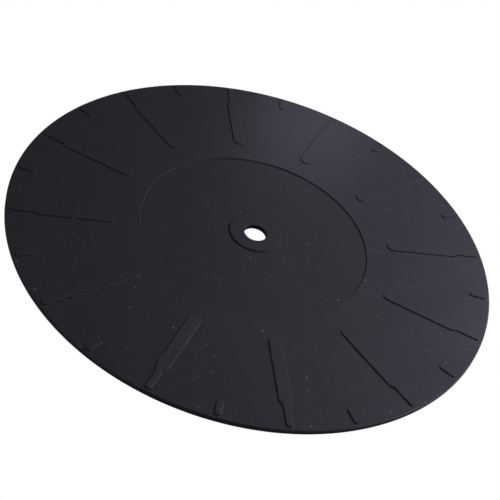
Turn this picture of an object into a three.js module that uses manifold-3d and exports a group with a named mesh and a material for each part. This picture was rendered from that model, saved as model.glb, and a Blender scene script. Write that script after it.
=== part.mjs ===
// Turntable platter mat: one moulded rubber disc that lies on a record player's platter.
// It has a shallow dish under the record's label, a low round pad about the spindle hole,
// and two sets of raised radial ribs on its upper face that the record rests on.
// Lengths are in millimetres. The origin is the centre of the underside, and +Z points up.

import * as THREE from 'three';
import { mergeVertices } from 'three/addons/utils/BufferGeometryUtils.js';
import Module from 'manifold-3d';

// The disc
const matDiameter = 295;
const matThickness = 3;
const rimEdgeRadius = 0.5;

// The dish under the record's label
const dishDiameter = 139.2;
const dishDepth = 0.55;
const dishWallLean = 0.25;

// The pad about the spindle hole, which rises from the dish's floor
const padDiameter = 31.6;
const padHeight = 0.65;
const padWallLean = 0.25;

// The spindle hole
const holeDiameter = 13.7;
const holeEdgeRadius = 0.25;

// What all ribs share: long and short ones take turns around the mat, evenly spaced
const ribsInEachSet = 12;
const ribHeight = 0.55;
const ribEdgeRadius = 0.3;
const ribToRimMargin = 2.3;

// A long rib is wide from its inner end to its shoulders, and a narrow neck from there to the rim
const dishToLongRibGap = 15.1;
const longRibWidth = 7.4;
const longRibEndRadius = 3;
const neckLength = 15.2;
const neckWidth = 3.9;
const neckEndRadius = 1.4;
const shoulderLength = 2.6;

// A short rib stands midway between two long ones, beside the rim
const shortRibLength = 10.2;
const shortRibWidth = 3.8;
const shortRibEndRadius = 1.4;

// How finely round shapes are divided
const stepsAroundDisc = 120;
const stepsInEdgeArc = 1;
const stepsInRibArc = 2;
const stepsInRibEdge = 2;

const matRadius = matDiameter / 2;
const dishRadius = dishDiameter / 2;
const padRadius = padDiameter / 2;
const holeRadius = holeDiameter / 2;
const dishFloor = matThickness - dishDepth;
const padTop = dishFloor + padHeight;
const ribOuterEnd = matRadius - ribToRimMargin;
const quarterTurn = Math.PI / 2;

// A rounded corner may take at most this share of the width or height that it belongs to.
const largestCornerShare = 0.48;

function fittedRadius(radius, available) {
  return Math.min(radius, available * largestCornerShare);
}

// Half of the disc's section, walked anticlockwise from the rim's lower edge, ready to be revolved.
function discSection() {
  const rimEdge = fittedRadius(rimEdgeRadius, matThickness);
  const holeEdge = fittedRadius(holeEdgeRadius, padTop);
  const section = new THREE.Path();
  section.absarc(matRadius - rimEdge, rimEdge, rimEdge, -quarterTurn, 0);
  section.absarc(matRadius - rimEdge, matThickness - rimEdge, rimEdge, 0, quarterTurn);
  section.lineTo(dishRadius, matThickness);
  section.lineTo(dishRadius - dishWallLean, dishFloor);
  section.lineTo(padRadius + padWallLean, dishFloor);
  section.lineTo(padRadius, padTop);
  section.absarc(holeRadius + holeEdge, padTop - holeEdge, holeEdge, quarterTurn, 2 * quarterTurn);
  section.absarc(holeRadius + holeEdge, holeEdge, holeEdge, 2 * quarterTurn, 3 * quarterTurn);
  section.closePath();
  return section.getPoints(stepsInEdgeArc);
}

// The disc with its dish, pad and hole: the section revolved about +Z.
function discShape() {
  const disc = new THREE.LatheGeometry(discSection(), stepsAroundDisc);
  disc.rotateX(quarterTurn);
  return disc;
}

// The outline of a long rib that points along +X: a wide bar with rounded corners at its inner end,
// two curved shoulders, and a neck with rounded corners at its outer end.
function longRibOutline() {
  const innerEnd = dishRadius + dishToLongRibGap;
  const shoulderStart = ribOuterEnd - neckLength - shoulderLength / 2;
  const shoulderEnd = shoulderStart + shoulderLength;
  const shoulderMiddle = (shoulderStart + shoulderEnd) / 2;
  const halfWidth = longRibWidth / 2;
  const halfNeck = neckWidth / 2;
  const innerCorner = fittedRadius(longRibEndRadius, longRibWidth);
  const outerCorner = fittedRadius(neckEndRadius, neckWidth);
  const outline = new THREE.Shape();
  outline.absarc(innerEnd + innerCorner, halfWidth - innerCorner, innerCorner, quarterTurn, 2 * quarterTurn);
  outline.absarc(innerEnd + innerCorner, innerCorner - halfWidth, innerCorner, 2 * quarterTurn, 3 * quarterTurn);
  outline.lineTo(shoulderStart, -halfWidth);
  outline.bezierCurveTo(shoulderMiddle, -halfWidth, shoulderMiddle, -halfNeck, shoulderEnd, -halfNeck);
  outline.absarc(ribOuterEnd - outerCorner, outerCorner - halfNeck, outerCorner, -quarterTurn, 0);
  outline.absarc(ribOuterEnd - outerCorner, halfNeck - outerCorner, outerCorner, 0, quarterTurn);
  outline.lineTo(shoulderEnd, halfNeck);
  outline.bezierCurveTo(shoulderMiddle, halfNeck, shoulderMiddle, halfWidth, shoulderStart, halfWidth);
  return outline;
}

// The outline of a short rib that points along +X: a straight bar with four rounded corners.
function shortRibOutline() {
  const innerEnd = ribOuterEnd - shortRibLength;
  const halfWidth = shortRibWidth / 2;
  const corner = fittedRadius(shortRibEndRadius, shortRibWidth);
  const outline = new THREE.Shape();
  outline.absarc(ribOuterEnd - corner, corner - halfWidth, corner, -quarterTurn, 0);
  outline.absarc(ribOuterEnd - corner, halfWidth - corner, corner, 0, quarterTurn);
  outline.absarc(innerEnd + corner, halfWidth - corner, corner, quarterTurn, 2 * quarterTurn);
  outline.absarc(innerEnd + corner, corner - halfWidth, corner, 2 * quarterTurn, 3 * quarterTurn);
  return outline;
}

// A rib grown from its outline. It is rooted in the middle of the disc's thickness, and its upper
// edges are rounded inwards, so that the outline keeps its size at the foot.
function ribShape(outline) {
  const edge = fittedRadius(ribEdgeRadius, ribHeight);
  const root = matThickness / 2;
  const top = matThickness + ribHeight;
  const rib = new THREE.ExtrudeGeometry(outline, {
    depth: top - root - 2 * edge,
    curveSegments: stepsInRibArc,
    bevelThickness: edge,
    bevelSize: edge,
    bevelOffset: -edge,
    bevelSegments: stepsInRibEdge,
  });
  rib.translate(0, 0, root + edge);
  return rib;
}

// One set of ribs, evenly spaced about +Z and starting at the given angle.
function ribSet(outline, startAngle) {
  const ribs = [];
  for (let index = 0; index < ribsInEachSet; index += 1) {
    const rib = ribShape(outline);
    rib.rotateZ(startAngle + (2 * Math.PI * index) / ribsInEachSet);
    ribs.push(rib);
  }
  return ribs;
}

const wasm = await Module();
wasm.setup();

// A closed geometry as a solid that can be joined to others.
function toSolid(geometry) {
  geometry.deleteAttribute('normal');
  geometry.deleteAttribute('uv');
  const merged = mergeVertices(geometry);
  return new wasm.Manifold(new wasm.Mesh({
    numProp: 3,
    vertProperties: new Float32Array(merged.attributes.position.array),
    triVerts: new Uint32Array(merged.index.array),
  }));
}

// A solid as a geometry that can be shown.
function toGeometry(solid) {
  const mesh = solid.getMesh();
  const geometry = new THREE.BufferGeometry();
  geometry.setAttribute('position', new THREE.BufferAttribute(new Float32Array(mesh.vertProperties), 3));
  geometry.setIndex(new THREE.BufferAttribute(new Uint32Array(mesh.triVerts), 1));
  geometry.computeVertexNormals();
  return geometry;
}

// The whole mat: the disc with every rib moulded onto it as one piece.
function matShape() {
  const halfSpacing = Math.PI / ribsInEachSet;
  let mat = toSolid(discShape());
  for (const rib of [...ribSet(longRibOutline(), 0), ...ribSet(shortRibOutline(), halfSpacing)]) {
    mat = mat.add(toSolid(rib));
  }
  return toGeometry(mat);
}

// Black rubber with the satin face that a polished mould leaves.
const rubber = new THREE.MeshStandardMaterial({ color: 0x2e2e32, roughness: 0.6, metalness: 0 });

const platterMat = new THREE.Mesh(matShape(), rubber);
platterMat.name = 'platter_mat';

const group = new THREE.Group();
group.add(platterMat);

export default group;
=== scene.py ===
import math
from typing import NamedTuple

import bmesh
import bpy
import numpy as np
from mathutils import Matrix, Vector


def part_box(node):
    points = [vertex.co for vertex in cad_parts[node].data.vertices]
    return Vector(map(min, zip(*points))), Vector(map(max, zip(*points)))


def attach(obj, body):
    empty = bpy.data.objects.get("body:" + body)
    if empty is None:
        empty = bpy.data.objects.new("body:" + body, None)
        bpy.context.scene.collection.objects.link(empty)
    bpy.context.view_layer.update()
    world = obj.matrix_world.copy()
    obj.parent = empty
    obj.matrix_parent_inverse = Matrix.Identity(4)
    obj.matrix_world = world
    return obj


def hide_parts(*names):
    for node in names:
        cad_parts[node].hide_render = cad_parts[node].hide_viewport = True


bl_info = {
    "name": "Turntable platter mat",
    "version": (1, 0, 0),
    "blender": (4, 5, 0),
    "location": "3D View > Sidebar > Platter Mat",
    "description": "A moulded rubber mat for a record player's platter, with a plain studio around it",
    "category": "Add Mesh",
}

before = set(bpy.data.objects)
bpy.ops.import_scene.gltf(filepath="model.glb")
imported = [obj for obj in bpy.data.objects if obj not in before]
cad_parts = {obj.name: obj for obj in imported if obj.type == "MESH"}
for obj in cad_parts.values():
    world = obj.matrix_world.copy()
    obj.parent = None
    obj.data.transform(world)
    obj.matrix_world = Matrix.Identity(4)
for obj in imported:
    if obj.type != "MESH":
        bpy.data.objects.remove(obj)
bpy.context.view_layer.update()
MAT_LOW, MAT_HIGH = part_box("platter_mat")

MM = 0.001
QUARTER_TURN = math.pi / 2

# How finely the mat's surface is divided.
CORNER_STEPS = 8
TIP_STEPS = 4
END_STEPS = 2 * CORNER_STEPS + TIP_STEPS
WIDE_STEPS = 9
SHOULDER_STEPS = 10
NECK_STEPS = 5
FLANK_STEPS = WIDE_STEPS + SHOULDER_STEPS + NECK_STEPS
ROUNDING_STEPS = 4
FILL_STEPS = 3
FLOOR_STEPS = 6
SUPPORT_RING = 0.12 * MM
MERGE_DISTANCE = 0.002 * MM

# The studio: how far its white faces reach and its floor stays clear of the mat, and the camera's sensor
# width in millimetres.
STUDIO_REACH = 8.0
FLOOR_GAP = 0.02 * MM
SENSOR_WIDTH = 36

# Real sizes in the rubber's finish. The grain of such a mat is nearer 0.1 mm, and is drawn coarser to show.
GRAIN_SIZE = 0.9 * MM
GRAIN_DEPTH = 0.03 * MM
BLOOM_SIZE = 28 * MM
SPECK_SPACING = 10 * MM
SPECK_RADIUS = 0.75 * MM
FINE_SPECK_SPACING = 3 * MM
FINE_SPECK_RADIUS = 0.85 * MM
SPECK_WARP = 0.9 * MM
PATCH_SIZE = 22 * MM
LINT_SPACING = 20 * MM
LINT_CURL = 1.8 * MM
LINT_WIDTH = 0.3 * MM
# Scuff marks on the ribs' tops, lightened by a painted sheen.
SCUFF_SHEEN_WIDTH = 1.5 * MM
SCUFF_SHEEN_LENGTH = 3 * MM

# Shares from 0 to 1: how many cells hold a speck or a fibre, the smallest of them beside the largest, how
# much of a speck its soft edge takes, and how strong a mark is at least and at most.
CLEAR_SHARE = 0.5
FINE_SHARE = 1.0
LINT_SHARE = 0.07
LINT_STRENGTH = 0.5
SMALLEST_SPECK = 0.4
SMALLEST_CURL = 0.5
SPECK_SOFTNESS = 0.8
FINE_STRENGTH = (0.05, 0.25)
DRIFT_STRENGTH = (0.15, 1.0)
SCUFF_SHEEN_STRENGTH = (0.07, 0.6)

# The stretches of a noise over which a mark fades in, and how near to their side the scuff marks and their
# painted sheen lie.
BLOOM_NOISE = (0.3, 0.7)
PATCH_NOISE = (0.42, 0.68)
SCUFF_SHEEN_NOISE = (0.38, 0.72)
SCUFF_SHEEN_NEARNESS = (0.9, 0.99)

# Where the pattern of the scuff marks and their painted sheen has its true width, as a share of the mat's
# radius.
SCUFF_SHEEN_CIRCLE = 0.75

# How many finer layers each noise has, and how strong they are.
BLOOM_DETAIL = 3.0
BLOOM_ROUGHNESS = 0.55
GRAIN_DETAIL = 2.0
GRAIN_ROUGHNESS = 0.6
PATCH_DETAIL = 2.0
SCUFF_SHEEN_DETAIL = 3.0

# What light bends by in rubber and in the wax on it, as is typical of both.
RUBBER_IOR = 1.52
WAX_IOR = 1.5

# The upward part of the surface's direction on a wall and on a flat face.
WALL_SLOPES = (0.25, 0.62)


def side_of_mat(degrees):
    """Level direction from the mat's centre, measured anticlockwise from +X."""
    return (math.cos(math.radians(degrees)), math.sin(math.radians(degrees)), 0.0)


# The side where the scuff marks and their painted sheen are thickest.
SCUFF_SHEEN_SIDE = side_of_mat(-112)
DUSTY_SIDE = side_of_mat(-70)


class Softbox(NamedTuple):
    """A studio light that faces the mat, with its place in degrees and metres and its power in watts."""

    name: str
    turn: float
    height: float
    size: tuple
    power: float
    distance: float = 1.5


# The lights. Their places, powers and colour are round values, tuned until renders matched the photograph.
LIGHTS = (
    Softbox("key_softbox", turn=107, height=31, size=(1.4, 0.4), power=15.5),
    Softbox("right_softbox", turn=65, height=8, size=(0.5, 0.3), power=7.5),
    Softbox("front_softbox", turn=-60, height=12, size=(0.6, 0.4), power=3),
    Softbox("side_softbox", turn=256, height=8, size=(0.5, 0.3), power=1),
    Softbox("high_softbox", turn=225, height=40, size=(0.8, 0.8), power=1.5),
    Softbox("back_softbox", turn=150, height=38, size=(0.6, 0.6), power=0.3),
    Softbox("sheen_panel", turn=159, height=31, size=(0.2, 0.2), power=0.4),
    Softbox("table_bounce", turn=0, height=-90, size=(3, 3), power=2, distance=0.5),
)
LIGHT_COLOUR = "#e8e5ff"
ROOM_LIGHT = 0.015


def length(name, description, metres):
    """A size that a user can change, in Blender's unit of length."""
    return bpy.props.FloatProperty(
        name=name, description=description, default=metres, unit="LENGTH", precision=5,
    )


def angle(name, description, degrees):
    """An angle that a user can change, shown in degrees."""
    return bpy.props.FloatProperty(
        name=name, description=description, default=math.radians(degrees), subtype="ANGLE",
    )


def fraction(name, description, value):
    """A part of a whole that a user can change, from 0 to 1."""
    return bpy.props.FloatProperty(
        name=name, description=description, default=value, min=0, max=1, subtype="FACTOR",
    )


def colour_value(name, description, hex_value):
    """A colour that a user can change, as an sRGB hex value."""
    return bpy.props.StringProperty(name=name, description=description, default=hex_value)


class MatSizes(bpy.types.PropertyGroup):
    """The mat's sizes. Its width and height come from the solid in the frame."""

    diameter: length("Diameter", "Width of the whole mat", MAT_HIGH[0] - MAT_LOW[0])
    full_height: length("Height", "From the underside to the tops of the ribs", MAT_HIGH[2] - MAT_LOW[2])
    rim_edge: length("Rim edge", "Radius of the rim's upper and lower edges", 0.5 * MM)
    dish_diameter: length("Dish", "Width of the dish under the record's label", 139.2 * MM)
    dish_depth: length("Dish depth", "Depth of the dish below the ring around it", 0.55 * MM)
    pad_diameter: length("Pad", "Width of the raised pad around the hole", 31.8 * MM)
    pad_height: length("Pad height", "Height of the pad above the dish's floor", 0.65 * MM)
    hole_diameter: length("Hole", "Width of the spindle hole", 13.7 * MM)
    hole_edge: length("Hole edge", "Radius of the hole's upper and lower edges", 0.25 * MM)
    rib_height: length("Rib height", "Height of the ribs above the ring", 0.55 * MM)
    rib_margin: length("Rib margin", "From a rib's outer end to the rim", 2.3 * MM)
    rib_start: length("Rib start", "From the centre to a long rib's inner end", 84.7 * MM)
    rib_width: length("Rib width", "Width of a long rib up to its shoulders", 7.3 * MM)
    rib_corner: length("Rib corner", "Radius of the corners at a long rib's inner end", 3 * MM)
    neck_length: length("Neck length", "From a long rib's shoulders to its outer end", 15.2 * MM)
    neck_width: length("Neck width", "Width of a long rib from its shoulders out", 3.8 * MM)
    neck_corner: length("Neck corner", "Radius of the corners at the outer ends", 1.4 * MM)
    shoulder_length: length("Shoulder length", "Length over which a long rib narrows", 2.6 * MM)
    short_length: length("Short rib length", "Length of a short rib", 10.2 * MM)
    short_width: length("Short rib width", "Width of a short rib", 3.7 * MM)
    crest_radius: length("Crest radius", "Rounding at the top of the ribs' and the pad's walls", 0.18 * MM)
    dish_crest: length("Dish crest", "Rounding at the top of the dish's wall", 0.11 * MM)
    foot_radius: length("Foot radius", "Fillet at the foot of each moulded wall", 0.08 * MM)
    wall_lean: angle("Wall lean", "How far the moulded walls lean from upright, to leave the mould", 14)
    ribs: bpy.props.IntProperty(
        name="Ribs",
        description="Number of long ribs, and of short ribs between them",
        default=12,
        min=3,
    )


class RubberFinish(bpy.types.PropertyGroup):
    """Colours and gloss of the rubber. The colours are sRGB hex values."""

    colour: colour_value("Rubber", "Colour of the bare rubber", "#242425")
    bloom_colour: colour_value("Bloom", "Colour where wax has come to the rubber's surface", "#292929")
    # Painted shade: this dark colour on the low walls stands in for the shade along them.
    wall_shade_colour: colour_value("Walls", "Colour of the low moulded walls", "#0b0b0c")
    # Partly wear, partly painted sheen: the lighter colour of the scuff marks on the ribs' tops.
    scuff_and_sheen_colour: colour_value("Scuffs", "Colour of the scuffs on the tops of the ribs", "#4a4a4b")
    dust_colour: colour_value("Dust", "Colour of the dust and lint", "#c8c4be")
    least_roughness: fraction("Least roughness", "Roughness where the skin is smoothest", 0.58)
    most_roughness: fraction("Most roughness", "Roughness where the bloom is thickest", 0.66)
    wall_roughness: fraction("Wall roughness", "Roughness of the low moulded walls", 0.85)
    ring_gloss: fraction("Ring gloss", "Weight of the second gloss outside the dish", 0.25)
    dish_gloss: fraction("Dish gloss", "Weight of the second gloss in the dish", 0.12)
    gloss_roughness: fraction("Gloss roughness", "Roughness of the second gloss", 0.22)
    grain: fraction("Grain", "Strength of the grain", 0.8)


class StudioSettings(bpy.types.PropertyGroup):
    """The camera's place."""

    lens: bpy.props.FloatProperty(
        name="Lens", description="The camera's focal length", default=82, unit="CAMERA",
    )
    distance: length("Distance", "From the camera to the point that it aims at", 669 * MM)
    aim_x: length("Aim X", "Where the camera aims on the mat's upper face, along X", -5.4 * MM)
    aim_y: length("Aim Y", "Where the camera aims on the mat's upper face, along Y", -15.7 * MM)
    azimuth: angle("Azimuth", "The camera's turn around the mat", -19.4)
    elevation: angle("Elevation", "The camera's height above the horizon", 40.8)
    roll: angle("Roll", "The camera's turn about its own line of sight", 18.6)


def wall_section(height, lean, crest_radius, foot_radius):
    """Section of a moulded wall, as offsets and heights from its foot to its crest.

    A fillet that is tangent to the floor meets a straight wall, which leans back by the given angle,
    and a rounding that is tangent to the top ends it. Offset 0 is the middle of the wall and positive
    offsets lie outside it. One more point at each end keeps the flat faces beside the wall flat.
    """
    foot_offset = (foot_radius - (foot_radius - height / 2) * math.sin(lean)) / math.cos(lean)
    crest_offset = (-crest_radius - (height / 2 - crest_radius) * math.sin(lean)) / math.cos(lean)
    foot_turn = np.linspace(3 * QUARTER_TURN, 2 * QUARTER_TURN + lean, ROUNDING_STEPS + 1)
    crest_turn = np.linspace(lean, QUARTER_TURN, ROUNDING_STEPS + 1)
    offsets = np.concatenate([
        [foot_offset + SUPPORT_RING],
        foot_offset + foot_radius * np.cos(foot_turn),
        crest_offset + crest_radius * np.cos(crest_turn),
        [crest_offset - SUPPORT_RING],
    ])
    heights = np.concatenate([
        [0],
        foot_radius + foot_radius * np.sin(foot_turn),
        height - crest_radius + crest_radius * np.sin(crest_turn),
        [height],
    ])
    return offsets, heights


def corner_section(centre_x, centre_z, radius, start):
    """A quarter circle as X and Z, with a point before and after it to keep the faces beside it flat."""
    turn = np.linspace(start, start + QUARTER_TURN, ROUNDING_STEPS + 1)
    xs = centre_x + radius * np.cos(turn)
    zs = centre_z + radius * np.sin(turn)
    before = SUPPORT_RING * np.array([math.sin(start), -math.cos(start)])
    after = SUPPORT_RING * np.array([math.cos(start), math.sin(start)])
    xs = np.concatenate([[xs[0] + before[0]], xs, [xs[-1] - after[0]]])
    zs = np.concatenate([[zs[0] + before[1]], zs, [zs[-1] - after[1]]])
    return xs, zs


def disc_section(sizes, top, inner_border, outer_border):
    """Section of all that is round about the axis, from inside the ribs in, under, and up around the rim."""
    lean, crest, foot = sizes.wall_lean, sizes.crest_radius, sizes.foot_radius
    dish_floor = top - sizes.dish_depth
    pad_top = dish_floor + sizes.pad_height
    hole = sizes.hole_diameter / 2
    rim = sizes.diameter / 2
    dish_offsets, dish_heights = wall_section(sizes.dish_depth, lean, sizes.dish_crest, foot)
    pad_offsets, pad_heights = wall_section(sizes.pad_height, lean, crest, foot)
    dish_wall = (sizes.dish_diameter / 2 - dish_offsets[::-1], dish_floor + dish_heights[::-1])
    pad_wall = (sizes.pad_diameter / 2 + pad_offsets, dish_floor + pad_heights)
    edge = sizes.hole_edge
    hole_top = corner_section(hole + edge, pad_top - edge, edge, QUARTER_TURN)
    hole_bottom = corner_section(hole + edge, edge, edge, 2 * QUARTER_TURN)
    edge = sizes.rim_edge
    rim_bottom = corner_section(rim - edge, edge, edge, -QUARTER_TURN)
    rim_top = corner_section(rim - edge, top - edge, edge, 0)
    floor = np.linspace(dish_wall[0][-1], pad_wall[0][0], FLOOR_STEPS + 1)[1:-1]
    under = np.linspace(hole_bottom[0][-1], rim_bottom[0][0], FLOOR_STEPS + 1)[1:-1]
    parts = [
        ([inner_border], [top]),
        dish_wall,
        (floor, np.full(len(floor), dish_floor)),
        pad_wall,
        hole_top,
        hole_bottom,
        (under, np.zeros(len(under))),
        rim_bottom,
        rim_top,
        ([outer_border], [top]),
    ]
    return np.concatenate([part[0] for part in parts]), np.concatenate([part[1] for part in parts])


def long_flank(sizes, outer_end):
    """Right flank of a long rib: places and tangents from its inner to its outer end.

    The flank is straight, then follows a Bezier curve of degree three between the two widths, then is
    straight again. The curve's inner control points lie level with its ends, at half its length.
    """
    start = sizes.rib_start + sizes.rib_corner
    shoulder = outer_end - sizes.neck_length - sizes.shoulder_length / 2
    wide, neck, run = sizes.rib_width / 2, sizes.neck_width / 2, sizes.shoulder_length
    t = np.linspace(0, 1, SHOULDER_STEPS + 1)
    curve_x = shoulder + run * (1.5 * t * (1 - t) + t**3)
    curve_y = wide + (neck - wide) * (3 * t**2 - 2 * t**3)
    slope_x = run * (1.5 * (1 - 2 * t) + 3 * t**2)
    slope_y = (neck - wide) * (6 * t - 6 * t**2)
    before = np.linspace(start, shoulder, WIDE_STEPS + 1)[:-1]
    after = np.linspace(shoulder + run, outer_end - sizes.neck_corner, NECK_STEPS + 1)[1:]
    xs = np.concatenate([before, curve_x, after])
    ys = np.concatenate([np.full(len(before), wide), curve_y, np.full(len(after), neck)])
    tangents = np.zeros((len(xs), 2))
    tangents[:, 0] = 1
    slopes = np.stack([slope_x, -slope_y], axis=1)
    tangents[len(before):len(before) + len(t)] = slopes / np.linalg.norm(slopes, axis=1, keepdims=True)
    return np.stack([xs, -ys], axis=1), tangents


def short_flank(sizes, outer_end):
    """Right flank of a short rib: a straight line."""
    start = outer_end - sizes.short_length + sizes.neck_corner
    xs = np.linspace(start, outer_end - sizes.neck_corner, FLANK_STEPS + 1)
    places = np.stack([xs, np.full(len(xs), -sizes.short_width / 2)], axis=1)
    tangents = np.tile([1.0, 0.0], (len(xs), 1))
    return places, tangents


def rounded_end(end_x, half_width, corner, turn):
    """One end of a rib: a corner, a straight tip and a corner, as places and outward directions."""
    first = np.linspace(-QUARTER_TURN, 0, CORNER_STEPS + 1)
    last = np.linspace(0, QUARTER_TURN, CORNER_STEPS + 1)
    side = half_width - corner
    tip = np.linspace(-side, side, TIP_STEPS + 1)[1:-1]
    xs = np.concatenate([np.cos(first) * corner - corner, np.zeros(len(tip)), np.cos(last) * corner - corner])
    ys = np.concatenate([np.sin(first) * corner - side, tip, np.sin(last) * corner + side])
    nx = np.concatenate([np.cos(first), np.ones(len(tip)), np.cos(last)])
    ny = np.concatenate([np.sin(first), np.zeros(len(tip)), np.sin(last)])
    sign = math.cos(turn)
    return np.stack([end_x + sign * xs, sign * ys], axis=1), sign * np.stack([nx, ny], axis=1)


def rib_outline(flank, inner_end, outer_end, corners):
    """Closed outline of a rib along +X, anticlockwise from its inner right corner, and outward directions."""
    places, tangents = flank
    outward = np.stack([tangents[:, 1], -tangents[:, 0]], axis=1)
    mirror = np.array([1.0, -1.0])
    outer_places, outer_outward = rounded_end(outer_end, -places[-1, 1], corners[1], 0)
    inner_places, inner_outward = rounded_end(inner_end, -places[0, 1], corners[0], math.pi)
    loop = [places, outer_places[1:], places[-2::-1] * mirror, inner_places[1:]]
    directions = [outward, outer_outward[1:], outward[-2::-1] * mirror, inner_outward[1:]]
    return np.concatenate(loop), np.concatenate(directions)


def sector_border(flank_x, inner, outer, half_angle):
    """Border of one rib's sector of the ring, with one point for each point of the rib's outline."""
    share = (flank_x - flank_x[0]) / (flank_x[-1] - flank_x[0])
    along = inner + (outer - inner) * share
    across = np.linspace(-half_angle, half_angle, END_STEPS + 1)
    radius = np.concatenate([along, np.full(END_STEPS, outer), along[-2::-1], np.full(END_STEPS, inner)])
    angle = np.concatenate([
        np.full(len(along), -half_angle),
        across[1:],
        np.full(len(along) - 1, half_angle),
        across[-2::-1],
    ])
    return np.stack([radius * np.cos(angle), radius * np.sin(angle)], axis=1)


def rib_sector(outline, border, spine_ends, top, sizes):
    """One rib and the flat ring around it, as a grid of points whose columns follow the rib's outline.

    From the border the rows close in on the rib's foot in equal steps, climb its wall section, and then
    close in on the line along its middle.
    """
    places, outward = outline
    offsets, heights = wall_section(sizes.rib_height, sizes.wall_lean, sizes.crest_radius, sizes.foot_radius)
    wall = places[None] + offsets[:, None, None] * outward[None]
    share = np.linspace(0, 1, FILL_STEPS + 1)[:-1, None, None]
    land = border[None] * (1 - share) + wall[:1] * share
    spine = np.stack([np.clip(places[:, 0], *spine_ends), np.zeros(len(places))], axis=1)
    share = np.linspace(0, 1, FILL_STEPS + 1)[1:, None, None]
    cap = wall[-1:] * (1 - share) + spine[None] * share
    flat = np.concatenate([land, wall, cap])
    level = np.concatenate([np.zeros(len(land)), heights, np.full(len(cap), sizes.rib_height)])
    z = np.broadcast_to((top + level)[:, None, None], flat.shape[:2] + (1,))
    return np.concatenate([flat, z], axis=2)


def revolve(xs, zs, angles):
    """The section turned about +Z: each point keeps its height and goes round a circle of its radius."""
    shape = (len(xs), len(angles))
    return np.stack([
        xs[:, None] * np.cos(angles),
        xs[:, None] * np.sin(angles),
        np.broadcast_to(zs[:, None], shape),
    ], axis=2)


def turned(points, angle):
    """The same grid of points turned about +Z."""
    c, s = math.cos(angle), math.sin(angle)
    return points @ np.array([[c, s, 0], [-s, c, 0], [0, 0, 1]])


def grid_quads(rows, columns):
    """Corners of the quads between the rows and columns of a grid of points."""
    index = np.arange(rows * columns).reshape(rows, columns)
    quads = np.stack([index[:-1, :-1], index[1:, :-1], index[1:, 1:], index[:-1, 1:]], axis=-1)
    return quads.reshape(-1, 4)


def mesh_from_grids(name, grids):
    """One closed mesh from grids of points whose borders meet, with its faces pointing outwards."""
    points, quads, count = [], [], 0
    for grid in grids:
        rows, columns = grid.shape[:2]
        points.append(grid.reshape(-1, 3))
        quads.append(grid_quads(rows, columns) + count)
        count += rows * columns
    mesh = bpy.data.meshes.new(name)
    mesh.from_pydata(np.concatenate(points).tolist(), [], np.concatenate(quads).tolist())
    work = bmesh.new()
    work.from_mesh(mesh)
    bmesh.ops.remove_doubles(work, verts=work.verts, dist=MERGE_DISTANCE)
    bmesh.ops.dissolve_degenerate(work, edges=work.edges, dist=MERGE_DISTANCE)
    bmesh.ops.recalc_face_normals(work, faces=work.faces)
    work.to_mesh(mesh)
    work.free()
    mesh.shade_smooth()
    return mesh


def mat_mesh(sizes):
    """The whole mat: the disc's section revolved, and a sector of the ring for each rib."""
    top = sizes.full_height - sizes.rib_height
    rim = sizes.diameter / 2
    outer_end = rim - sizes.rib_margin
    inner_border = (sizes.dish_diameter / 2 + sizes.rib_start) / 2
    outer_border = rim - sizes.rim_edge - 2 * SUPPORT_RING
    half_angle = math.pi / (2 * sizes.ribs)
    long_line, short_line = long_flank(sizes, outer_end), short_flank(sizes, outer_end)
    border = sector_border(long_line[0][:, 0], inner_border, outer_border, half_angle)
    short_start = outer_end - sizes.short_length
    long_loop = rib_outline(long_line, sizes.rib_start, outer_end, (sizes.rib_corner, sizes.neck_corner))
    short_loop = rib_outline(short_line, short_start, outer_end, (sizes.neck_corner, sizes.neck_corner))
    long_spine = (sizes.rib_start + sizes.rib_width / 2, outer_end - sizes.neck_width / 2)
    short_spine = (short_start + sizes.short_width / 2, outer_end - sizes.short_width / 2)
    sectors = [
        rib_sector(long_loop, border, long_spine, top, sizes),
        rib_sector(short_loop, border, short_spine, top, sizes),
    ]
    grids = [turned(sectors[k % 2], 2 * k * half_angle) for k in range(2 * sizes.ribs)]
    columns = 2 * sizes.ribs * END_STEPS
    angles = np.linspace(0, 2 * math.pi, columns + 1) - half_angle
    section_x, section_z = disc_section(sizes, top, inner_border, outer_border)
    grids.append(revolve(section_x, section_z, angles))
    return mesh_from_grids("platter_mat_surface", grids)


def srgb(hex_value):
    """An sRGB hex value as linear red, green, blue and alpha."""
    channels = np.array([int(hex_value[k:k + 2], 16) for k in (1, 3, 5)]) / 255
    linear = np.where(channels <= 0.04045, channels / 12.92, ((channels + 0.055) / 1.055) ** 2.4)
    return (*linear.tolist(), 1.0)


def add_node(tree, kind, inputs=None, **settings):
    """Adds one node with its settings, and sets or links its inputs."""
    node = tree.nodes.new(kind)
    for name, value in settings.items():
        setattr(node, name, value)
    for name, value in (inputs or {}).items():
        if isinstance(value, bpy.types.NodeSocket):
            tree.links.new(value, node.inputs[name])
        else:
            node.inputs[name].default_value = value
    return node


def empty_material(name):
    """A new material with an empty node tree."""
    material = bpy.data.materials.new(name)
    material.use_nodes = True
    material.node_tree.nodes.clear()
    return material


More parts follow.
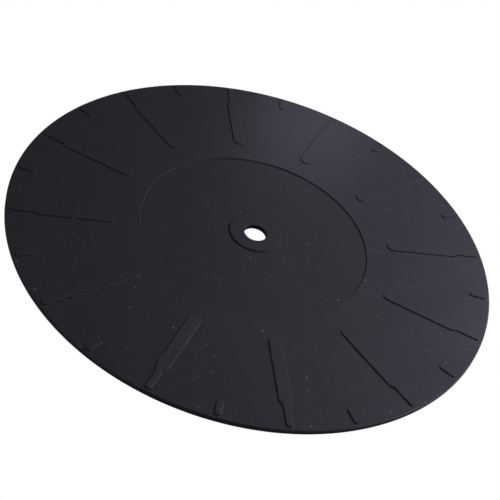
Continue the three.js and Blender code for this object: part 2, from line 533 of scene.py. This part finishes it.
def scattered(tree, place, spacing, chosen_share, radius):
    """Mask of round specks on a share of the points of a random net, seen from above.

    Each speck is a circle of its own size and strength. Most are faint, because a strength is the square
    of a random value.
    """
    cells = add_node(tree, "ShaderNodeTexVoronoi", {
        "Vector": place, "Scale": 1 / spacing,
    }, voronoi_dimensions="2D")
    chance = add_node(tree, "ShaderNodeSeparateColor", {"Color": cells.outputs["Color"]})
    reach = radius / spacing
    size = add_node(tree, "ShaderNodeMapRange", {
        "Value": chance.outputs["Green"], "To Min": SMALLEST_SPECK * reach, "To Max": reach,
    })
    depth = add_node(tree, "ShaderNodeMath", {
        0: size.outputs[0], 1: cells.outputs["Distance"],
    }, operation="SUBTRACT")
    inside = add_node(tree, "ShaderNodeMapRange", {
        "Value": depth.outputs[0], "From Max": SPECK_SOFTNESS * reach,
    })
    chosen = add_node(tree, "ShaderNodeMath", {
        0: chance.outputs["Red"], 1: chosen_share,
    }, operation="LESS_THAN")
    strength = add_node(tree, "ShaderNodeMath", {0: chance.outputs["Blue"], 1: 2.0}, operation="POWER")
    kept = add_node(tree, "ShaderNodeMath", {
        0: strength.outputs[0], 1: chosen.outputs[0],
    }, operation="MULTIPLY")
    return add_node(tree, "ShaderNodeMath", {
        0: inside.outputs[0], 1: kept.outputs[0],
    }, operation="MULTIPLY").outputs[0]


def random_direction(tree, colour):
    """A level vector of random direction and length from a random colour, each part between -0.5 and 0.5."""
    centred = add_node(tree, "ShaderNodeVectorMath", {0: colour, 1: (0.5, 0.5, 0.5)}, operation="SUBTRACT")
    return add_node(tree, "ShaderNodeVectorMath", {
        0: centred.outputs["Vector"], 1: (1.0, 1.0, 0.0),
    }, operation="MULTIPLY").outputs["Vector"]


def warped(tree, place):
    """Places shifted a little at random, so that what is drawn on them gets a ragged outline."""
    noise = add_node(tree, "ShaderNodeTexNoise", {"Vector": place, "Scale": 1 / SPECK_WARP, "Detail": 0.0})
    shift = random_direction(tree, noise.outputs["Color"])
    return add_node(tree, "ShaderNodeVectorMath", {
        0: shift, 1: (SPECK_WARP, SPECK_WARP, 0.0), 2: place,
    }, operation="MULTIPLY_ADD").outputs["Vector"]


def distance_from_axis(tree, place):
    """How far each place is from the mat's axis, and the direction that it lies in, both seen from above."""
    flat = add_node(tree, "ShaderNodeVectorMath", {
        0: place, 1: (1.0, 1.0, 0.0),
    }, operation="MULTIPLY").outputs["Vector"]
    away = add_node(tree, "ShaderNodeVectorMath", {0: flat}, operation="LENGTH").outputs["Value"]
    direction = add_node(tree, "ShaderNodeVectorMath", {0: flat}, operation="NORMALIZE").outputs["Vector"]
    return away, direction


def wall_mask(tree, away):
    """Mask of the low moulded walls: where the surface leans more than a little, inside the rim.

    It sets where painted shade darkens the colour, where the walls are matt, and where the second gloss is
    left out.
    """
    facing = add_node(tree, "ShaderNodeNewGeometry").outputs["Normal"]
    upward = add_node(tree, "ShaderNodeSeparateXYZ", {"Vector": facing}).outputs["Z"]
    leaning = add_node(tree, "ShaderNodeMapRange", {
        "Value": upward, "From Min": WALL_SLOPES[0], "From Max": WALL_SLOPES[1], "To Min": 1.0, "To Max": 0.0,
    }).outputs[0]
    inside = add_node(tree, "ShaderNodeMath", {0: away, 1: MAT_HIGH[0] - MM}, operation="LESS_THAN")
    return add_node(tree, "ShaderNodeMath", {
        0: leaning, 1: inside.outputs[0],
    }, operation="MULTIPLY").outputs[0]


def scuff_and_sheen_mask(tree, away, direction, tops):
    """Mask of scuff marks and painted sheen: soft lighter streaks that run along the ribs, on their tops
    alone, and thickest on one side of the mat.

    The pattern is a noise on the direction from the centre and the distance from it, so that it is narrow
    across a rib and long along it. The direction is worked out as a place on a circle through the ribs.
    """
    circle = SCUFF_SHEEN_CIRCLE * MAT_HIGH[0]
    across = add_node(tree, "ShaderNodeVectorMath", {
        0: direction, "Scale": circle / SCUFF_SHEEN_WIDTH,
    }, operation="SCALE")
    along = add_node(tree, "ShaderNodeMath", {0: away, 1: 1 / SCUFF_SHEEN_LENGTH}, operation="MULTIPLY")
    lift = add_node(tree, "ShaderNodeCombineXYZ", {"Z": along.outputs[0]})
    streaks = add_node(tree, "ShaderNodeVectorMath", {
        0: across.outputs["Vector"], 1: lift.outputs[0],
    }, operation="ADD")
    noise = add_node(tree, "ShaderNodeTexNoise", {
        "Vector": streaks.outputs["Vector"], "Scale": 1.0, "Detail": SCUFF_SHEEN_DETAIL,
    })
    soft = add_node(tree, "ShaderNodeMapRange", {
        "Value": noise.outputs["Fac"], "From Min": SCUFF_SHEEN_NOISE[0], "From Max": SCUFF_SHEEN_NOISE[1],
    })
    side = add_node(tree, "ShaderNodeVectorMath", {0: direction, 1: SCUFF_SHEEN_SIDE}, operation="DOT_PRODUCT")
    side_weight = add_node(tree, "ShaderNodeMapRange", {
        "Value": side.outputs["Value"],
        "From Min": SCUFF_SHEEN_NEARNESS[0], "From Max": SCUFF_SHEEN_NEARNESS[1],
        "To Min": SCUFF_SHEEN_STRENGTH[0], "To Max": SCUFF_SHEEN_STRENGTH[1],
    })
    streaked = add_node(tree, "ShaderNodeMath", {0: soft.outputs[0], 1: tops}, operation="MULTIPLY")
    return add_node(tree, "ShaderNodeMath", {
        0: streaked.outputs[0], 1: side_weight.outputs[0],
    }, operation="MULTIPLY").outputs[0]


def lint_mask(tree, place):
    """Mask of short curled fibres, one in some cells of a random net.

    Each is part of a thin circle round its cell's point: the part that lies on one side of that point, in a
    direction of its own.
    """
    cells = add_node(tree, "ShaderNodeTexVoronoi", {
        "Vector": place, "Scale": 1 / LINT_SPACING,
    }, voronoi_dimensions="2D")
    chance = add_node(tree, "ShaderNodeSeparateColor", {"Color": cells.outputs["Color"]})
    reach = LINT_CURL / LINT_SPACING
    ring = add_node(tree, "ShaderNodeMapRange", {
        "Value": chance.outputs["Green"], "To Min": SMALLEST_CURL * reach, "To Max": reach,
    })
    offset = add_node(tree, "ShaderNodeMath", {
        0: cells.outputs["Distance"], 1: ring.outputs[0],
    }, operation="SUBTRACT")
    thin = add_node(tree, "ShaderNodeMath", {0: offset.outputs[0]}, operation="ABSOLUTE")
    line = add_node(tree, "ShaderNodeMapRange", {
        "Value": thin.outputs[0], "From Max": LINT_WIDTH / LINT_SPACING, "To Min": 1.0, "To Max": 0.0,
    })
    out = add_node(tree, "ShaderNodeVectorMath", {
        0: place, 1: cells.outputs["Position"],
    }, operation="SUBTRACT")
    aim = add_node(tree, "ShaderNodeVectorMath", {
        0: random_direction(tree, cells.outputs["Color"]),
    }, operation="NORMALIZE")
    side = add_node(tree, "ShaderNodeVectorMath", {
        0: out.outputs["Vector"], 1: aim.outputs["Vector"],
    }, operation="DOT_PRODUCT")
    stretch = add_node(tree, "ShaderNodeMapRange", {
        "Value": side.outputs["Value"], "From Min": 0.0, "From Max": LINT_CURL, "To Max": LINT_STRENGTH,
    })
    chosen = add_node(tree, "ShaderNodeMath", {
        0: chance.outputs["Blue"], 1: LINT_SHARE,
    }, operation="LESS_THAN")
    kept = add_node(tree, "ShaderNodeMath", {
        0: stretch.outputs[0], 1: chosen.outputs[0],
    }, operation="MULTIPLY")
    return add_node(tree, "ShaderNodeMath", {
        0: line.outputs[0], 1: kept.outputs[0],
    }, operation="MULTIPLY").outputs[0]


def dust_mask(tree, place, height):
    """Mask of the dust on the upper side: clear specks, fine dust in patches and lint, more on one side."""
    patches = add_node(tree, "ShaderNodeTexNoise", {
        "Vector": place, "Scale": 1 / PATCH_SIZE, "Detail": PATCH_DETAIL,
    })
    patchy = add_node(tree, "ShaderNodeMapRange", {
        "Value": patches.outputs["Fac"],
        "From Min": PATCH_NOISE[0], "From Max": PATCH_NOISE[1],
        "To Min": FINE_STRENGTH[0], "To Max": FINE_STRENGTH[1],
    })
    side = add_node(tree, "ShaderNodeVectorMath", {0: place, 1: DUSTY_SIDE}, operation="DOT_PRODUCT")
    drift = add_node(tree, "ShaderNodeMapRange", {
        "Value": side.outputs["Value"],
        "From Min": MAT_LOW[0], "From Max": MAT_HIGH[0],
        "To Min": DRIFT_STRENGTH[0], "To Max": DRIFT_STRENGTH[1],
    })
    ragged = warped(tree, place)
    clear = scattered(tree, ragged, SPECK_SPACING, CLEAR_SHARE, SPECK_RADIUS)
    fine = scattered(tree, ragged, FINE_SPECK_SPACING, FINE_SHARE, FINE_SPECK_RADIUS)
    faint = add_node(tree, "ShaderNodeMath", {0: fine, 1: patchy.outputs[0]}, operation="MULTIPLY")
    specks = add_node(tree, "ShaderNodeMath", {0: clear, 1: faint.outputs[0]}, operation="MAXIMUM")
    dust = add_node(tree, "ShaderNodeMath", {
        0: specks.outputs[0], 1: lint_mask(tree, ragged),
    }, operation="MAXIMUM")
    above = add_node(tree, "ShaderNodeMath", {0: height, 1: MM}, operation="GREATER_THAN")
    fallen = add_node(tree, "ShaderNodeMath", {
        0: drift.outputs[0], 1: above.outputs[0],
    }, operation="MULTIPLY")
    return add_node(tree, "ShaderNodeMath", {
        0: dust.outputs[0], 1: fallen.outputs[0],
    }, operation="MULTIPLY").outputs[0]


def rubber_colour(tree, finish, bloom, scuffs_and_sheen, walls, dust):
    """The rubber's colour: clouded by bloom, lightened on the ribs by scuff marks and painted sheen,
    darkened on the walls by painted shade, and under the dust.
    """
    colour = srgb(finish.colour)
    layers = (
        (bloom, finish.bloom_colour),
        # Scuff marks and painted sheen lighten the ribs' tops.
        (scuffs_and_sheen, finish.scuff_and_sheen_colour),
        # Painted shade darkens the walls.
        (walls, finish.wall_shade_colour),
        (dust, finish.dust_colour),
    )
    for mask, hex_value in layers:
        colour = add_node(tree, "ShaderNodeMix", {
            "Factor": mask, "A": colour, "B": srgb(hex_value),
        }, data_type="RGBA").outputs["Result"]
    return colour


def moulded_rubber(finish, sizes):
    """Black natural rubber, compression moulded in a polished steel mould.

    The mould leaves a satin skin with a fine grain, a soft cloudy bloom where wax has come to the surface,
    and a faint second gloss, which is weaker in the dish. The low walls are matt, and their colour is
    darkened as painted shade, for the shade that falls along them. Light dust and a little lint lie on it,
    and records have left faint scuff marks on the tops of the ribs, which a painted sheen lightens further.
    """
    material = empty_material("moulded_rubber")
    tree = material.node_tree
    place = add_node(tree, "ShaderNodeTexCoord").outputs["Object"]
    height = add_node(tree, "ShaderNodeSeparateXYZ", {"Vector": place}).outputs["Z"]
    away, direction = distance_from_axis(tree, place)
    # Painted shade: the wall mask darkens the colour of the walls. It also makes them matt.
    walls = wall_mask(tree, away)
    bloom = add_node(tree, "ShaderNodeTexNoise", {
        "Vector": place, "Scale": 1 / BLOOM_SIZE, "Detail": BLOOM_DETAIL, "Roughness": BLOOM_ROUGHNESS,
    }).outputs["Fac"]
    grain = add_node(tree, "ShaderNodeTexNoise", {
        "Vector": place, "Scale": 1 / GRAIN_SIZE, "Detail": GRAIN_DETAIL, "Roughness": GRAIN_ROUGHNESS,
    }).outputs["Fac"]
    tops = add_node(tree, "ShaderNodeMapRange", {
        "Value": height, "From Min": sizes.full_height - sizes.rib_height, "From Max": sizes.full_height,
    }).outputs[0]
    satin = add_node(tree, "ShaderNodeMapRange", {
        "Value": bloom, "From Min": BLOOM_NOISE[0], "From Max": BLOOM_NOISE[1],
        "To Min": finish.least_roughness, "To Max": finish.most_roughness,
    }).outputs[0]
    roughness = add_node(tree, "ShaderNodeMapRange", {
        "Value": walls, "To Min": satin, "To Max": finish.wall_roughness,
    }).outputs[0]
    dish = sizes.dish_diameter / 2
    gloss = add_node(tree, "ShaderNodeMapRange", {
        "Value": away, "From Min": dish - MM, "From Max": dish,
        "To Min": finish.dish_gloss, "To Max": finish.ring_gloss,
    }).outputs[0]
    second_gloss = add_node(tree, "ShaderNodeMapRange", {
        "Value": walls, "To Min": gloss, "To Max": 0.0,
    }).outputs[0]
    # Scuff marks with a painted sheen on the ribs' tops.
    scuffs_and_sheen = scuff_and_sheen_mask(tree, away, direction, tops)
    dust = dust_mask(tree, place, height)
    bump = add_node(tree, "ShaderNodeBump", {
        "Height": grain, "Strength": finish.grain, "Distance": GRAIN_DEPTH,
    })
    shader = add_node(tree, "ShaderNodeBsdfPrincipled", {
        "Base Color": rubber_colour(tree, finish, bloom, scuffs_and_sheen, walls, dust),
        "Roughness": roughness,
        "IOR": RUBBER_IOR,
        "Coat Weight": second_gloss,
        "Coat Roughness": finish.gloss_roughness,
        "Coat IOR": WAX_IOR,
        "Normal": bump.outputs["Normal"],
    })
    add_node(tree, "ShaderNodeOutputMaterial", {"Surface": shader.outputs[0]})
    return material


def glowing_white():
    """A plain white backdrop that is lit evenly all over."""
    material = empty_material("studio_white")
    tree = material.node_tree
    glow = add_node(tree, "ShaderNodeEmission", {"Color": srgb("#ffffff"), "Strength": 1.0})
    add_node(tree, "ShaderNodeOutputMaterial", {"Surface": glow.outputs[0]})
    return material


def room_light():
    """The little light that the studio's own walls give from every side."""
    world = bpy.data.worlds.new("studio_air")
    world.use_nodes = True
    world.node_tree.nodes.clear()
    tree = world.node_tree
    glow = add_node(tree, "ShaderNodeBackground", {"Color": srgb("#ffffff"), "Strength": ROOM_LIGHT})
    add_node(tree, "ShaderNodeOutputWorld", {"Surface": glow.outputs[0]})
    return world


def new_object(name, data):
    """An object at the origin, in the scene's own collection."""
    made = bpy.data.objects.new(name, data)
    bpy.context.scene.collection.objects.link(made)
    return made


def looking_in(turn, height, spin, distance):
    """Placement that faces the origin from a distance, turned about +Z and raised above the floor.

    At turn 0 it stands towards -Y. The spin is about its own line of sight.
    """
    return (
        Matrix.Rotation(turn, 4, "Z")
        @ Matrix.Rotation(QUARTER_TURN - height, 4, "X")
        @ Matrix.Rotation(spin, 4, "Z")
        @ Matrix.Translation((0, 0, distance))
    )


def add_camera(studio, top):
    """The camera, at the photograph's view of the mat's upper face."""
    camera = bpy.data.cameras.new("camera")
    camera.lens = studio.lens
    camera.sensor_width = SENSOR_WIDTH
    camera.clip_end = 4 * STUDIO_REACH
    made = new_object("camera", camera)
    aim = Matrix.Translation((studio.aim_x, studio.aim_y, top))
    made.matrix_world = aim @ looking_in(studio.azimuth, studio.elevation, studio.roll, studio.distance)
    bpy.context.scene.camera = made


def add_light(softbox):
    """A softbox that faces the mat. The camera doesn't see it."""
    light = bpy.data.lights.new(softbox.name, "AREA")
    light.shape = "RECTANGLE"
    light.size, light.size_y = softbox.size
    light.energy = softbox.power
    light.color = srgb(LIGHT_COLOUR)[:3]
    made = new_object(softbox.name, light)
    turn, height = math.radians(softbox.turn), math.radians(softbox.height)
    made.matrix_world = looking_in(turn, height, 0, softbox.distance)
    made.visible_camera = False


def add_backdrop(name, points, faces):
    """A glowing white face of the studio, which only the camera sees, so that it lights nothing."""
    mesh = bpy.data.meshes.new(name)
    mesh.from_pydata(points, [], faces)
    mesh.materials.append(glowing_white())
    made = new_object(name, mesh)
    made.visible_diffuse = made.visible_glossy = False
    made.visible_transmission = made.visible_shadow = False


class MATSTUDIO_OT_mat(bpy.types.Operator):
    """Build the rubber mat in place of its plain solid"""

    bl_idname = "matstudio.mat"
    bl_label = "Rubber mat"

    def execute(self, context):
        sizes, finish = context.scene.mat_sizes, context.scene.rubber_finish
        mesh = mat_mesh(sizes)
        mesh.materials.append(moulded_rubber(finish, sizes))
        piece = new_object("rubber_mat", mesh)
        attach(piece, "root")
        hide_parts("platter_mat")
        return {"FINISHED"}


class MATSTUDIO_OT_stage(bpy.types.Operator):
    """Set up the floor, the lights and the camera"""

    bl_idname = "matstudio.stage"
    bl_label = "Studio"

    def execute(self, context):
        sizes, studio = context.scene.mat_sizes, context.scene.studio_settings
        context.scene.view_settings.view_transform = "Standard"
        context.scene.world = room_light()
        reach = STUDIO_REACH
        corners = [(-reach, -reach), (reach, -reach), (reach, reach), (-reach, reach)]
        floor = [(x, y, -FLOOR_GAP) for x, y in corners]
        ceiling = [(x, y, reach) for x, y in corners]
        add_backdrop("studio_floor", floor, [(0, 1, 2, 3)])
        walls = [(k, (k + 1) % 4, (k + 1) % 4 + 4, k + 4) for k in range(4)]
        add_backdrop("studio_walls", floor + ceiling, walls + [(4, 5, 6, 7)])
        for softbox in LIGHTS:
            add_light(softbox)
        add_camera(studio, sizes.full_height - sizes.rib_height)
        return {"FINISHED"}


class MATSTUDIO_PT_panel(bpy.types.Panel):
    """Lists the operators and the values that they read"""

    bl_idname = "MATSTUDIO_PT_panel"
    bl_label = "Platter Mat"
    bl_space_type = "VIEW_3D"
    bl_region_type = "UI"
    bl_category = "Platter Mat"

    def draw(self, context):
        for operator in OPERATORS:
            self.layout.operator(operator.bl_idname)
        for name, group in GROUPS.items():
            box = self.layout.box()
            for value in group.__annotations__:
                box.prop(getattr(context.scene, name), value)


OPERATORS = (MATSTUDIO_OT_mat, MATSTUDIO_OT_stage)
GROUPS = {"mat_sizes": MatSizes, "rubber_finish": RubberFinish, "studio_settings": StudioSettings}


def register():
    for group in GROUPS.values():
        bpy.utils.register_class(group)
    for operator in OPERATORS:
        bpy.utils.register_class(operator)
    bpy.utils.register_class(MATSTUDIO_PT_panel)
    for name, group in GROUPS.items():
        setattr(bpy.types.Scene, name, bpy.props.PointerProperty(type=group))


def unregister():
    for name in GROUPS:
        delattr(bpy.types.Scene, name)
    bpy.utils.unregister_class(MATSTUDIO_PT_panel)
    for operator in reversed(OPERATORS):
        bpy.utils.unregister_class(operator)
    for group in GROUPS.values():
        bpy.utils.unregister_class(group)


def main():
    register()
    bpy.ops.matstudio.mat()
    bpy.ops.matstudio.stage()


if __name__ == "__main__":
    main()
